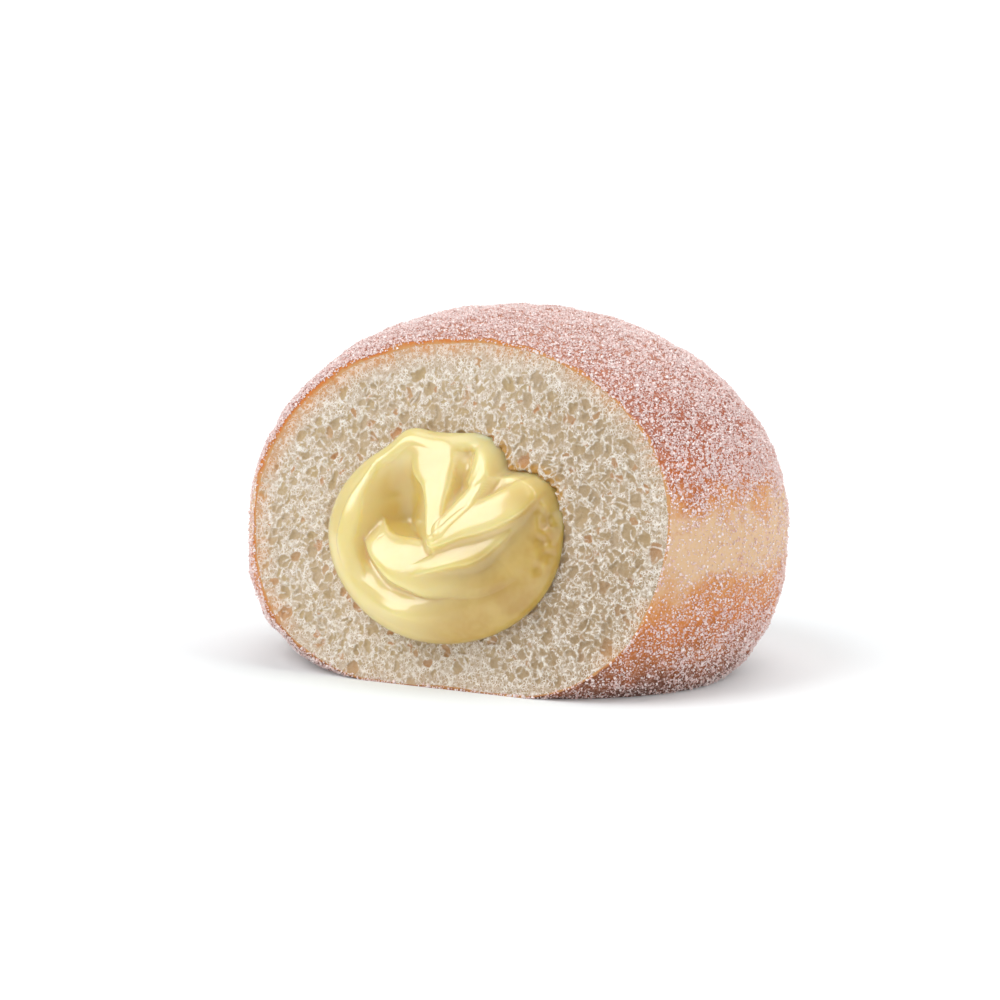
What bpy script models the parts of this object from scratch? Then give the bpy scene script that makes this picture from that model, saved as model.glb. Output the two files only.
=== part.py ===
"""A round doughnut filled with custard, with one end cut off to show the filling.

Sizes are in metres and +Z is up.  The origin is in the middle of the flat base, on the
doughnut's round axis.  The cut faces -Y and leans back, so it also faces up a little.
Points on the cut are given as U, to the right, V, up along the cut, and W, out of it.
"""
import math

import bmesh
import bpy
import numpy as np

MM = 0.001

# The doughnut's turned shape
RADIUS = 43.6 * MM
WAIST_HEIGHT = 23.2 * MM
CROWN_HEIGHT = 34.9 * MM
BELLY_DEPTH = 28.3 * MM
CROWN_POWER = 2.04
BELLY_POWER = 2.95
CROWN_STEPS = 14
BELLY_STEPS = 8
SHORTEST_STEP = 0.3 * MM
ROUND_STEPS = 72

# How far the hand-shaped doughnut strays from its turned shape: waves round it, as (count,
# phase, height), and a belly that has settled outwards on one side, near the base
WAVES = ((2, 0.6, 0.30 * MM), (3, 2.4, 0.25 * MM), (5, 1.1, 0.16 * MM))
SETTLED_SIDE = math.radians(-14)
SETTLED_SPREAD = math.radians(40)
SETTLED_BULGE = 2.6 * MM
SETTLED_HEIGHT = 5.0 * MM

# The cut: how far in front of the round axis it passes at waist height, and its lean
CUT_SETBACK = 24.9 * MM
CUT_LEAN = math.radians(12.5)
KNIFE_SIZE = 120.0 * MM

# The custard's outline on the cut
FILLING_CENTRE = (-2.0 * MM, 0.3 * MM)
FILLING_HALF_WIDTH = 20.0 * MM
FILLING_HALF_HEIGHT = 17.0 * MM
# Each swelling or notch of the outline: its direction and spread in degrees, and its size
# as a share of the reach there
OUTLINE_BUMPS = (
    (33, 15, 0.085),
    (57, 8, -0.11),
    (77, 10, 0.045),
    (112, 9, 0.085),
    (215, 30, -0.03),
)

# The pocket that the custard fills, and the room left round it
POCKET_DEPTH = 36.0 * MM
POCKET_POWER = 2.3
FIT_GAP = 0.3 * MM
MOUTH_CLEARANCE = 12.0 * MM
BACK_STEPS = 6

# The outer lobe of the custard.  Of each pair, the first size is for the free side, where
# the custard swells out over the crumb, and the second for the side that the crumb holds in.
FREE_SIDE = math.radians(222)
OVERHANG = (1.8 * MM, 0.0)
EDGE_LIFT = (2.0 * MM, 0.5 * MM)
CREST_RISE = (6.8 * MM, 4.6 * MM)
SHOULDER_WIDTH = (3.9 * MM, 11.0 * MM)
FLOOR_RISE = 3.2 * MM
FLOOR_SLOPE_WIDTH = 4.2 * MM
FOLD_MARGIN = 1.6 * MM

# The inner folds, in millimetres: points (U, V, half width, height) along each crest, then
# how much the fold rises per millimetre towards its left, and how square its back is
FOLDS = {
    "left fold": (
        ((-15.6, 9.0, 0.9, 5.6), (-16.9, 4.0, 1.5, 7.0), (-16.7, -2.0, 1.8, 7.4),
         (-14.6, -7.6, 1.2, 6.6)), -0.10, 2.2),
    "middle fold": (
        ((-13.0, 1.0, 1.2, 4.6), (-10.2, -1.6, 3.4, 6.8), (-5.0, -4.6, 4.6, 7.8),
         (2.0, -5.4, 4.6, 7.0), (8.0, -2.4, 4.6, 6.0), (12.5, 3.5, 4.2, 5.0)), -0.08, 2.3),
    "upright ridge": (
        ((-6.8, 14.6, 2.4, 3.4), (-4.2, 11.6, 3.7, 5.2), (-2.6, 7.8, 2.8, 6.9),
         (-2.0, 3.8, 2.0, 8.0), (-1.9, 0.6, 1.6, 8.4)), 0.16, 2.8),
    "thin ridge": (
        ((4.9, 11.6, 1.0, 5.6), (4.4, 8.6, 1.1, 6.6), (2.8, 5.0, 1.4, 7.6),
         (-0.4, 1.4, 1.3, 8.4)), 0.30, 2.4),
    "upper fold": (
        ((12.2, 9.7, 1.4, 4.8), (10.2, 7.0, 2.4, 7.0), (6.4, 4.0, 2.2, 8.2),
         (2.4, 1.8, 1.7, 8.8), (-1.8, -0.4, 1.1, 8.8)), 0.24, 2.6),
    "lower fold": (
        ((8.6, 2.4, 1.3, 6.8), (5.2, -0.4, 2.1, 8.0), (1.4, -2.6, 2.3, 8.4),
         (-3.0, -5.2, 1.3, 8.0)), 0.30, 2.6),
    "rim of the small bowl": (
        ((-2.6, 15.6, 0.9, 3.6), (-0.4, 12.8, 0.9, 5.0), (3.0, 11.2, 0.9, 5.8),
         (5.8, 12.0, 0.9, 5.8), (6.6, 14.8, 1.0, 4.8)), 0.0, 2.0),
}
# The hollows between them, in millimetres: (U, V, half width, half height, depth)
HOLLOWS = (
    (-9.6, 6.4, 3.8, 5.6, 2.0),
    (-13.0, -2.0, 2.4, 4.0, 0.9),
    (2.2, 8.2, 1.8, 3.4, 1.4),
    (1.8, 14.6, 2.6, 2.2, 2.2),
)
CREASE_SOFTNESS = 0.25 * MM
FOLD_SIDE_DROP = 0.9
FOLD_SKIRT_SLOPE = 2.2
FOLD_SAMPLES = 48

# How finely the custard is divided
FILLING_ROUND_STEPS = 72
EDGE_STEPS = 2
FRONT_STEPS = 18
FRONT_CROWDING = 1.25

# Colours, as linear red, green and blue
CRUST_COLOUR = (0.52, 0.30, 0.16, 1.0)
CUSTARD_COLOUR = (0.76, 0.60, 0.20, 1.0)


def clear_scene():
    for thing in list(bpy.data.objects):
        bpy.data.objects.remove(thing, do_unlink=True)


def make_material(name, colour, roughness):
    """A plain Principled BSDF finish."""
    material = bpy.data.materials.new(name)
    material.use_nodes = True
    shader = material.node_tree.nodes["Principled BSDF"]
    shader.inputs["Base Color"].default_value = colour
    shader.inputs["Roughness"].default_value = roughness
    shader.inputs["Metallic"].default_value = 0.0
    return material


def add_object(name, bm, material=None):
    """Make an object from a bmesh, with its faces pointing out."""
    bmesh.ops.recalc_face_normals(bm, faces=bm.faces)
    mesh = bpy.data.meshes.new(name)
    bm.to_mesh(mesh)
    bm.free()
    thing = bpy.data.objects.new(name, mesh)
    bpy.context.collection.objects.link(thing)
    if material:
        mesh.materials.append(material)
        mesh.shade_smooth()
    return thing


def place_on_cut(thing):
    """Set an object that is modelled in U, V and W on the cut."""
    thing.location = (0.0, -CUT_SETBACK, WAIST_HEIGHT)
    thing.rotation_euler = (math.pi / 2 - CUT_LEAN, 0.0, 0.0)


def make_cutter(thing):
    thing.hide_render = True
    thing.display_type = "WIRE"
    place_on_cut(thing)


def take_away(thing, cutter):
    """Cut one object's shape out of another."""
    cut = thing.modifiers.new("cut by " + cutter.name, "BOOLEAN")
    cut.operation = "DIFFERENCE"
    cut.solver = "EXACT"
    cut.object = cutter


# --- the dough ----------------------------------------------------------------------------
def rounded_quarter(reach, height, power, steps):
    """Points (radius, height) of a superellipse from its widest line to its end."""
    points = []
    for step in range(steps + 1):
        turn = 0.5 * math.pi * step / steps
        radius = reach * math.cos(turn) ** (2.0 / power)
        points.append((radius, height * math.sin(turn) ** (2.0 / power)))
    return points


def base_radius():
    """Radius at which the rounded belly meets the flat base."""
    share = WAIST_HEIGHT / BELLY_DEPTH
    return RADIUS * (1.0 - share**BELLY_POWER) ** (1.0 / BELLY_POWER)


def doughnut_profile():
    """The turned outline from the edge of the base up to the top, as (radius, height)."""
    profile = [(base_radius(), 0.0)]
    belly = rounded_quarter(RADIUS, BELLY_DEPTH, BELLY_POWER, BELLY_STEPS)
    for radius, drop in reversed(belly[1:]):
        if drop < WAIST_HEIGHT - SHORTEST_STEP:
            profile.append((radius, WAIST_HEIGHT - drop))
    crown = rounded_quarter(RADIUS, CROWN_HEIGHT, CROWN_POWER, CROWN_STEPS)
    for radius, rise in crown[:-1]:
        profile.append((radius, WAIST_HEIGHT + rise))
    profile.append((0.0, WAIST_HEIGHT + CROWN_HEIGHT))
    return profile


def stray(direction, height):
    """How far the crust lies outside its turned shape."""
    total = sum(size * math.sin(count * direction + phase) for count, phase, size in WAVES)
    off = math.remainder(direction - SETTLED_SIDE, 2.0 * math.pi) / SETTLED_SPREAD
    low = max(0.0, 1.0 - height / SETTLED_HEIGHT)
    return total + SETTLED_BULGE * low * math.exp(-off * off)


def shape_by_hand(bm):
    """Make the turned shape uneven, and leave the base flat."""
    for vert in bm.verts:
        reach = math.hypot(vert.co.x, vert.co.y)
        if reach > 0.0:
            share = min(1.0, reach / base_radius())
            push = share * stray(math.atan2(vert.co.y, vert.co.x), vert.co.z) / reach
            vert.co.x += vert.co.x * push
            vert.co.y += vert.co.y * push


def build_dough(knife, pocket):
    """The whole doughnut, turned and shaped, then cut through and hollowed."""
    bm = bmesh.new()
    profile = [bm.verts.new((radius, 0.0, height)) for radius, height in doughnut_profile()]
    edges = [bm.edges.new(pair) for pair in zip(profile, profile[1:])]
    bmesh.ops.spin(
        bm, geom=profile + edges, cent=(0, 0, 0), axis=(0, 0, 1),
        angle=2.0 * math.pi, steps=ROUND_STEPS, use_merge=True, use_duplicate=False,
    )
    bmesh.ops.remove_doubles(bm, verts=bm.verts, dist=0.01 * MM)
    rim = [edge for edge in bm.edges if edge.is_boundary]
    bmesh.ops.contextual_create(bm, geom=rim)
    shape_by_hand(bm)
    dough = add_object("dough", bm, make_material("sugared crust and crumb", CRUST_COLOUR, 0.8))
    take_away(dough, knife)
    take_away(dough, pocket)
    return dough


def build_knife():
    """A block that takes away all that is in front of the cut."""
    bm = bmesh.new()
    bmesh.ops.create_cube(bm, size=KNIFE_SIZE)
    bmesh.ops.translate(bm, verts=bm.verts, vec=(0.0, 0.0, KNIFE_SIZE / 2))
    knife = add_object("knife", bm)
    make_cutter(knife)
    return knife


# --- the custard --------------------------------------------------------------------------
def ring_turns():
    return 2.0 * math.pi * np.arange(FILLING_ROUND_STEPS) / FILLING_ROUND_STEPS


def outline_reach(turns):
    """The custard's outline on the cut, as U and V from its own centre."""
    share = np.ones_like(turns)
    for direction, spread, size in OUTLINE_BUMPS:
        off = np.remainder(turns - math.radians(direction) + math.pi, 2.0 * math.pi) - math.pi
        share += size * np.exp(-((off / math.radians(spread)) ** 2))
    return (
        FILLING_HALF_WIDTH * share * np.cos(turns),
        FILLING_HALF_HEIGHT * share * np.sin(turns),
    )


def by_side(turns, pair):
    """Blend from a size on the free side to a size on the side that the crumb holds in."""
    free = 0.5 + 0.5 * np.cos(turns - FREE_SIDE)
    return pair[1] + (pair[0] - pair[1]) * free


def inset_ring(inset, rise):
    """A ring of points at a distance inside the outline, at a height above the cut."""
    reach_u, reach_v = outline_reach(ring_turns())
    share = 1.0 - inset / np.hypot(reach_u, reach_v)
    return np.stack([
        FILLING_CENTRE[0] + reach_u * share,
        FILLING_CENTRE[1] + reach_v * share,
        rise + np.zeros_like(share),
    ], axis=1)


def smooth_path(points):
    """Points along a Catmull-Rom curve through the given ones, in metres."""
    given = np.array(points) * MM
    given = np.vstack([2 * given[0] - given[1], given, 2 * given[-1] - given[-2]])
    pieces = []
    share = np.linspace(0.0, 1.0, FOLD_SAMPLES // (len(points) - 1))[:, None]
    for before, start, end, after in zip(given, given[1:], given[2:], given[3:]):
        pieces.append(0.5 * (
            2 * start
            + (end - before) * share
            + (2 * before - 5 * start + 4 * end - after) * share**2
            + (3 * start - before - 3 * end + after) * share**3
        ))
    return np.vstack(pieces)


def fold_rise(ring, points, lean, power):
    """Height of one fold over each point of a ring: a round back with steep sides."""
    path = smooth_path(points)
    ahead = np.gradient(path[:, :2], axis=0)
    offset = ring[:, None, :2] - path[None, :, :2]
    distance = np.hypot(offset[..., 0], offset[..., 1])
    near = np.argmin(distance / path[:, 2], axis=1)
    row = np.arange(len(ring))
    across = distance[row, near]
    width = path[near, 2]
    side = ahead[near, 0] * offset[row, near, 1] - ahead[near, 1] * offset[row, near, 0]
    side /= np.maximum(np.hypot(ahead[near, 0], ahead[near, 1]), 1e-9)
    share = np.minimum(across / width, 1.0)
    back = FOLD_SIDE_DROP * width * (1.0 - (1.0 - share**power) ** (1.0 / power))
    skirt = FOLD_SKIRT_SLOPE * np.maximum(across - width, 0.0)
    return path[near, 3] - back - skirt + lean * side


def outer_lobe_rise(turns, inset, ring):
    """Height of the outer lobe, which rolls up from its edge and sinks to a hollow floor."""
    edge = FIT_GAP + by_side(turns, EDGE_LIFT)
    crest = by_side(turns, CREST_RISE)
    shoulder = by_side(turns, SHOULDER_WIDTH)
    climb = np.maximum(0.0, 1.0 - inset / shoulder)
    fall = np.maximum(0.0, (inset - 1.15 * shoulder) / FLOOR_SLOPE_WIDTH)
    rise = edge + (crest - edge) * np.sqrt(1.0 - climb**2)
    rise -= (crest - FLOOR_RISE) * (1.0 - np.exp(-(fall**2)))
    for centre_u, centre_v, half_width, half_height, depth in np.array(HOLLOWS) * MM:
        off_u = (ring[:, 0] - centre_u) / half_width
        off_v = (ring[:, 1] - centre_v) / half_height
        rise -= depth * np.exp(-(off_u**2) - off_v**2) * np.clip(inset / FOLD_MARGIN - 1, 0, 1)
    return rise


def front_ring(inset):
    """A ring over the front of the custard, raised by the folds."""
    turns = ring_turns()
    ring = inset_ring(inset, 0.0)
    lobe = outer_lobe_rise(turns, inset, ring)
    layers = np.array([lobe] + [fold_rise(ring, *fold) for fold in FOLDS.values()])
    top = layers.max(axis=0)
    crowd = np.exp((layers - top) / CREASE_SOFTNESS).sum(axis=0)
    folded = top + CREASE_SOFTNESS * np.log(crowd)
    ease = np.clip(inset / FOLD_MARGIN, 0.0, 1.0)
    ring[:, 2] = lobe + (folded - lobe) * ease * ease * (3.0 - 2.0 * ease)
    return ring


def pocket_rings(gap):
    """Rings of the pocket from its blind end out to its mouth, larger by a gap."""
    mouth = inset_ring(by_side(ring_turns(), OVERHANG) - gap, 0.0)
    centre = np.array([*FILLING_CENTRE, 0.0])
    rings = []
    for step in range(1, BACK_STEPS + 1):
        turn = 0.5 * math.pi * step / BACK_STEPS
        share = math.sin(turn) ** (2.0 / POCKET_POWER)
        depth = (POCKET_DEPTH + gap) * math.cos(turn) ** (2.0 / POCKET_POWER)
        rings.append(centre + (mouth - centre) * share - np.array([0.0, 0.0, depth]))
    return rings


def custard_rings():
    """Rings of the custard from its blind end, round its edge and in over its front."""
    turns = ring_turns()
    overhang = by_side(turns, OVERHANG)
    lift = by_side(turns, EDGE_LIFT)
    rings = pocket_rings(0.0)
    for step in range(EDGE_STEPS):
        dip = 0.5 * math.pi * (1.0 - step / EDGE_STEPS)
        under = overhang * (1.0 - math.cos(dip))
        rings.append(inset_ring(under, FIT_GAP + lift * (1.0 - math.sin(dip))))
    reach = np.hypot(*outline_reach(turns))
    for step in range(FRONT_STEPS):
        rings.append(front_ring(reach * (step / FRONT_STEPS) ** FRONT_CROWDING))
    return rings


def skin_rings(bm, rings):
    """Bridge rings in turn, and close both ends on their middle points."""
    loops = [[bm.verts.new(point) for point in ring] for ring in rings]
    for low, high in zip(loops, loops[1:]):
        for step, corner in enumerate(low):
            ahead = (step + 1) % len(low)
            bm.faces.new((corner, low[ahead], high[ahead], high[step]))
    for loop, ring in ((loops[0], rings[0]), (loops[-1], rings[-1])):
        tip = bm.verts.new((*FILLING_CENTRE, ring[:, 2].mean()))
        for step, corner in enumerate(loop):
            bm.faces.new((corner, loop[(step + 1) % len(loop)], tip))


def build_custard():
    """The filling: it runs back into the dough and swells out of the cut in folds."""
    bm = bmesh.new()
    skin_rings(bm, custard_rings())
    custard = add_object("custard", bm, make_material("custard", CUSTARD_COLOUR, 0.25))
    place_on_cut(custard)
    return custard


def build_pocket():
    """The room that the custard fills, a little larger all round and open past the cut."""
    bm = bmesh.new()
    rings = pocket_rings(FIT_GAP)
    rings.append(rings[-1] + np.array([0.0, 0.0, MOUTH_CLEARANCE]))
    skin_rings(bm, rings)
    pocket = add_object("pocket", bm)
    make_cutter(pocket)
    return pocket


clear_scene()
build_dough(build_knife(), build_pocket())
build_custard()
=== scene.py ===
import math

import bpy
import numpy as np
from mathutils import Matrix, Vector
from mathutils.geometry import delaunay_2d_cdt


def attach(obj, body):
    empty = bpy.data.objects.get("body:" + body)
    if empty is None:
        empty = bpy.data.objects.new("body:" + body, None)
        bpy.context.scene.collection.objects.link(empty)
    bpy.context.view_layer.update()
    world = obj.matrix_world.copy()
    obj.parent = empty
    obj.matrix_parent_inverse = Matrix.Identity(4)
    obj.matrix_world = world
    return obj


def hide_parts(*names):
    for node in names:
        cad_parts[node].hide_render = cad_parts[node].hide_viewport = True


# A sugared doughnut filled with custard, with one end cut off.  Sizes are in metres, in the
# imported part's frame.  Points on the cut are given as U, to the right, V, up along the cut,
# and W, out of it.
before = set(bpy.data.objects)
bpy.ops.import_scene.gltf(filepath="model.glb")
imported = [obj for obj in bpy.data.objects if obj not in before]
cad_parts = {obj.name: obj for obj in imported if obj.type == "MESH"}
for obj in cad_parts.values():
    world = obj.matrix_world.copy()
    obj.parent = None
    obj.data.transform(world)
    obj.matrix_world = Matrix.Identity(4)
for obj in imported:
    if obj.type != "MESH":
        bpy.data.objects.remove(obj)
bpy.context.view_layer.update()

MM = 0.001
FULL_TURN = 2.0 * math.pi

# The doughnut's turned shape
RADIUS = 43.6 * MM
WAIST_HEIGHT = 23.2 * MM
CROWN_HEIGHT = 34.9 * MM
BELLY_DEPTH = 28.3 * MM
CROWN_POWER = 2.04
BELLY_POWER = 2.95
TOP_HEIGHT = WAIST_HEIGHT + CROWN_HEIGHT

# How far the hand-shaped doughnut strays from it: waves, as (count, phase, height), and a
# belly that has settled outwards on one side, in degrees
WAVES = ((2, 0.6, 0.30 * MM), (3, 2.4, 0.25 * MM), (5, 1.1, 0.16 * MM))
SETTLED_SIDE = -14
SETTLED_SPREAD = 40
SETTLED_BULGE = 2.6 * MM
SETTLED_HEIGHT = 5.0 * MM

# How often the search for the crust halves its step
REACH_HALVINGS = 36

# The cut
CUT_SETBACK = 24.9 * MM
CUT_LEAN = math.radians(12.5)
CUT_MIDDLE = (0.0, 2.0 * MM)

# The crust
CRUST_ROUND_STEPS = 330
CRUST_DEEP_STEPS = 100
CRUST_ROW_CROWDING = 1.08
CRUST_THICKNESS = 0.62 * MM
DEEPEST_DENT = 0.3 * MM
# How far the crumb keeps inside the crust behind the cut, and runs under it on the cut
CRUMB_MARGIN = 0.08 * MM
RIM_OVERLAP = 0.12 * MM
CRUST_LUMPS = ((9.0 * MM, 0.16 * MM), (3.2 * MM, 0.07 * MM), (1.1 * MM, 0.035 * MM))

# The custard's outline on the cut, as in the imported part
FILLING_CENTRE = (-2.0 * MM, 0.3 * MM)
FILLING_HALF_WIDTH = 20.0 * MM
FILLING_HALF_HEIGHT = 17.0 * MM
# its bumps, as (side and spread in degrees, size)
OUTLINE_BUMPS = (
    (33, 15, 0.085), (57, 8, -0.11), (77, 10, 0.045), (112, 9, 0.085), (215, 30, -0.03))
POCKET_DEPTH = 36.0 * MM
POCKET_POWER = 2.3
POCKET_STEPS = 10

# The outer lobe of the custard, as pairs for the free side and the held side
FREE_SIDE = math.radians(222)
OVERHANG = (1.8 * MM, 0.0)
EDGE_LIFT = (2.0 * MM, 0.5 * MM)
CREST_RISE = (6.8 * MM, 4.6 * MM)
SHOULDER_WIDTH = (3.9 * MM, 11.0 * MM)
FLOOR_RISE = 3.2 * MM
FLOOR_SLOPE_WIDTH = 4.2 * MM
FOLD_MARGIN = 1.6 * MM
# Where the crumb laps over the custard, which is tucked in behind it, in degrees
TUCK_SIDE = 47
TUCK_SPREAD = 34
TUCK_DEPTH = 1.0 * MM
TUCK_WIDTH = 3.0 * MM
LAP = 0.7 * MM
MOUTH_MARGIN = 0.25 * MM

# The inner folds, in millimetres: points (U, V, half width, height, rise per millimetre
# towards the left) along each crest, then how square its back is
FOLDS = {
    "left fold": (
        ((-14.6, 10.4, 0.7, 4.4, 0.0), (-16.3, 5.0, 1.2, 6.4, -0.06),
         (-16.8, 0.6, 1.6, 7.1, -0.10), (-16.2, -3.8, 1.8, 6.9, 0.0),
         (-14.2, -8.2, 1.4, 5.6, 0.1)), 2.4),
    "middle fold": (
        ((-14.8, 2.2, 1.4, 2.4, 0.0), (-11.6, -1.0, 2.4, 5.6, -0.28),
         (-7.4, -3.4, 3.8, 7.3, -0.34), (-2.0, -4.9, 4.6, 7.5, -0.22),
         (4.0, -4.6, 4.8, 6.6, 0.0), (9.2, -1.6, 4.6, 5.3, 0.12),
         (13.0, 3.6, 3.2, 3.0, 0.1)), 3.4),
    "upright ridge": (
        ((-5.6, 17.2, 3.0, 2.2, -0.05), (-4.4, 12.6, 4.1, 4.5, -0.05),
         (-2.7, 9.0, 2.9, 6.0, -0.05), (-2.0, 5.4, 1.7, 7.4, -0.05),
         (-1.5, 1.0, 1.1, 8.7, -0.05)), 3.6),
    "thin ridge": (
        ((5.2, 12.8, 0.9, 4.0, 0.0), (4.5, 9.4, 1.1, 6.0, 0.16), (3.0, 5.6, 1.4, 7.5, 0.26),
         (-0.2, 1.8, 1.3, 8.7, 0.26)), 2.8),
    "upper fold": (
        ((14.2, 11.8, 1.6, 2.8, 0.2), (11.0, 7.8, 2.6, 6.1, 0.26), (6.8, 4.4, 2.7, 7.8, 0.32),
         (2.6, 1.9, 1.9, 8.8, 0.32), (-1.4, -0.2, 1.0, 9.1, 0.3)), 3.2),
    "lower fold": (
        ((11.6, 5.0, 1.2, 4.4, 0.2), (6.4, 0.0, 2.4, 7.4, 0.32), (1.8, -2.4, 2.5, 8.3, 0.34),
         (-2.4, -4.8, 1.5, 8.2, 0.34), (-5.4, -6.8, 0.6, 7.0, 0.3)), 3.2),
    "bead by the small bowl": (
        ((5.2, 17.6, 1.8, 2.4, 0.05), (4.8, 14.6, 2.2, 4.0, 0.05),
         (4.2, 11.4, 1.6, 5.3, 0.05), (3.6, 9.6, 0.9, 5.9, 0.05)), 2.4),
}
# The hollows between them, in millimetres: (U, V, half width, half height, depth)
HOLLOWS = (
    (-9.2, 6.0, 4.4, 6.2, 4.2),
    (-13.4, -2.6, 2.2, 4.4, 1.5),
    (1.9, 8.0, 1.9, 3.6, 2.0),
    (1.2, 14.4, 1.7, 1.9, 1.8),
    (-6.2, -13.2, 4.6, 2.4, -0.9),
)
CREASE_SOFTNESS = 0.44 * MM
FOLD_SIDE_DROP = 0.55
FOLD_SKIRT_SLOPE = 1.5
FOLD_SAMPLES = 120
CUSTARD_ROUND_STEPS = 340
CUSTARD_FRONT_STEPS = 135
CUSTARD_ROW_CROWDING = 1.15
CUSTARD_EDGE_STEPS = 8
CUSTARD_MAP_WIDTH = 44.0 * MM
# Custard lower than this over the cut gets painted shade, the darker colour of a shaded hollow
SHADED_HOLLOW_BELOW = 6.2 * MM
# How fast painted shade on the custard deepens to the right and clears upwards, per millimetre
SHADE_RIGHTWARDS = 0.045
SHADE_UPWARDS = 0.027
# The folds wander sideways by a little, over some distance
FOLD_WANDER = 0.28 * MM
FOLD_WANDER_SIZE = 11.0 * MM
# Beads where the crumb has torn through the custard's edge
BEAD_HEIGHT = 0.42 * MM
BEAD_SIZE = 3.0 * MM
BEAD_INSET = 1.8 * MM
BEAD_BELT = 1.5 * MM

# The crumb and its relief, on a grid of small cells.  Plain numbers here are in millimetres
CELL = 0.08
CRUMB_SPACING = 0.172
CRUMB_LOOP_STEPS = 640
RIM_TABLE_STEPS = 720
CRUMB_BACK_STEPS = 12
LOOP_MARGIN = 0.06 * MM
CRUMB_MAP_MIDDLE = (0.0, 4.0 * MM)
CRUMB_MAP_WIDTH = 76.0 * MM
HIDDEN_MAP_WIDTH = 90.0 * MM
CRUMB_FIELD = (-38.0, 38.0, -27.0, 35.0)
# The pores, largest first: how many tries, least and greatest radius
PORES = ((1100, 0.56, 1.15), (3200, 0.38, 0.60), (7000, 0.22, 0.38))
PORE_CROWDING = 0.10
DEEPEST_PORE = 0.50
WARM_SHARE = 0.10
STRANDS = 1100
# How far the frying has browned the crumb under the crust, in millimetres
BROWNED_DEPTH = 2.0

# Sugar: piece name, shape, number of crystals, least and greatest size
SUGAR_KINDS = (
    ("sugar_coarse", "block", 6000, 0.26 * MM, 0.42 * MM),
    ("sugar_medium", "diamond", 16500, 0.22 * MM, 0.37 * MM),
    ("sugar_fine", "chip", 49000, 0.22 * MM, 0.37 * MM),
    ("sugar_finest", "chip", 49000, 0.16 * MM, 0.27 * MM),
)
# The share that hangs over the edge of the cut, how deep crystals sit in the crust, as a
# share of their size, and the height under which the crust stands bare
SUGAR_ON_THE_CUT = 0.006
SUGAR_SEAT = (0.05, 0.42)
BARE_FOOT = 0.2 * MM


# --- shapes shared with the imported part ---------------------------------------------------
def towards(turns, side, spread, power=2):
    """1 in one direction, falling to 0 beyond a spread, both in degrees."""
    off = np.remainder(turns - math.radians(side) + math.pi, FULL_TURN) - math.pi
    return np.exp(-((off / math.radians(spread)) ** power))


def base_radius():
    share = WAIST_HEIGHT / BELLY_DEPTH
    return RADIUS * (1.0 - share**BELLY_POWER) ** (1.0 / BELLY_POWER)


def stray(direction, height):
    """How far the crust lies outside its turned shape."""
    total = sum(size * np.sin(count * direction + phase) for count, phase, size in WAVES)
    low = np.maximum(0.0, 1.0 - height / SETTLED_HEIGHT)
    return total + SETTLED_BULGE * low * towards(direction, SETTLED_SIDE, SETTLED_SPREAD)


def crust_radius(direction, height):
    """The crust's distance from the round axis."""
    rise = height - WAIST_HEIGHT
    crown = 1.0 - np.clip(rise / CROWN_HEIGHT, 0.0, 1.0) ** CROWN_POWER
    belly = 1.0 - np.clip(-rise / BELLY_DEPTH, 0.0, 1.0) ** BELLY_POWER
    turned = RADIUS * np.where(rise > 0, crown ** (1 / CROWN_POWER), belly ** (1 / BELLY_POWER))
    return turned + np.minimum(1.0, turned / base_radius()) * stray(direction, height)


def from_cut(points):
    """World points from U, V and W on the cut."""
    across, up, out = np.moveaxis(np.asarray(points, float), -1, 0)
    lean_sin, lean_cos = math.sin(CUT_LEAN), math.cos(CUT_LEAN)
    return np.stack([
        across,
        -CUT_SETBACK + up * lean_sin - out * lean_cos,
        WAIST_HEIGHT + up * lean_cos + out * lean_sin,
    ], axis=-1)


def from_middle(directions, reach):
    """World points at a distance from the middle of the cut, in directions U, V and W."""
    return from_cut(np.array([*CUT_MIDDLE, 0.0]) + directions * reach[..., None])


def crust_reach(directions):
    """Distance from the middle of the cut to the crust, in directions given as U, V and W."""
    near = np.zeros(directions.shape[:-1])
    far = np.full_like(near, 3.0 * RADIUS)
    for _ in range(REACH_HALVINGS):
        half = 0.5 * (near + far)
        place = from_middle(directions, half)
        reach = np.hypot(place[..., 0], place[..., 1])
        side = np.arctan2(place[..., 1], place[..., 0])
        height = place[..., 2]
        inside = (reach < crust_radius(side, height)) & (height > 0) & (height < TOP_HEIGHT)
        near = np.where(inside, half, near)
        far = np.where(inside, far, half)
    return near


def look_back(turns, dips):
    """Directions from the cut back into the doughnut, as U, V and W.  A dip of 0 is along it."""
    turns, dips = np.broadcast_arrays(turns, dips)
    return np.stack([
        np.cos(dips) * np.cos(turns), np.cos(dips) * np.sin(turns), -np.sin(dips)
    ], axis=-1)


def round_turns(count):
    return FULL_TURN * np.arange(count) / count


def around(turns):
    """Points on a circle of unit size."""
    return np.stack([np.cos(turns), np.sin(turns)], axis=-1)


def outline_reach(turns):
    """The custard's outline on the cut, as U and V from its own centre."""
    share = np.ones_like(turns)
    for side, spread, size in OUTLINE_BUMPS:
        share += size * towards(turns, side, spread)
    return (
        FILLING_HALF_WIDTH * share * np.cos(turns),
        FILLING_HALF_HEIGHT * share * np.sin(turns),
    )


def by_side(turns, pair):
    """Blend from a size on the free side to a size on the side that the crumb holds in."""
    free = 0.5 + 0.5 * np.cos(turns - FREE_SIDE)
    return pair[1] + (pair[0] - pair[1]) * free


def inset_ring(turns, inset, rise):
    """A ring of points at a distance inside the outline, at a height above the cut."""
    reach_u, reach_v = outline_reach(turns)
    share = 1.0 - inset / np.hypot(reach_u, reach_v)
    return np.stack([
        FILLING_CENTRE[0] + reach_u * share,
        FILLING_CENTRE[1] + reach_v * share,
        rise + np.zeros_like(share),
    ], axis=1)


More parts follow.
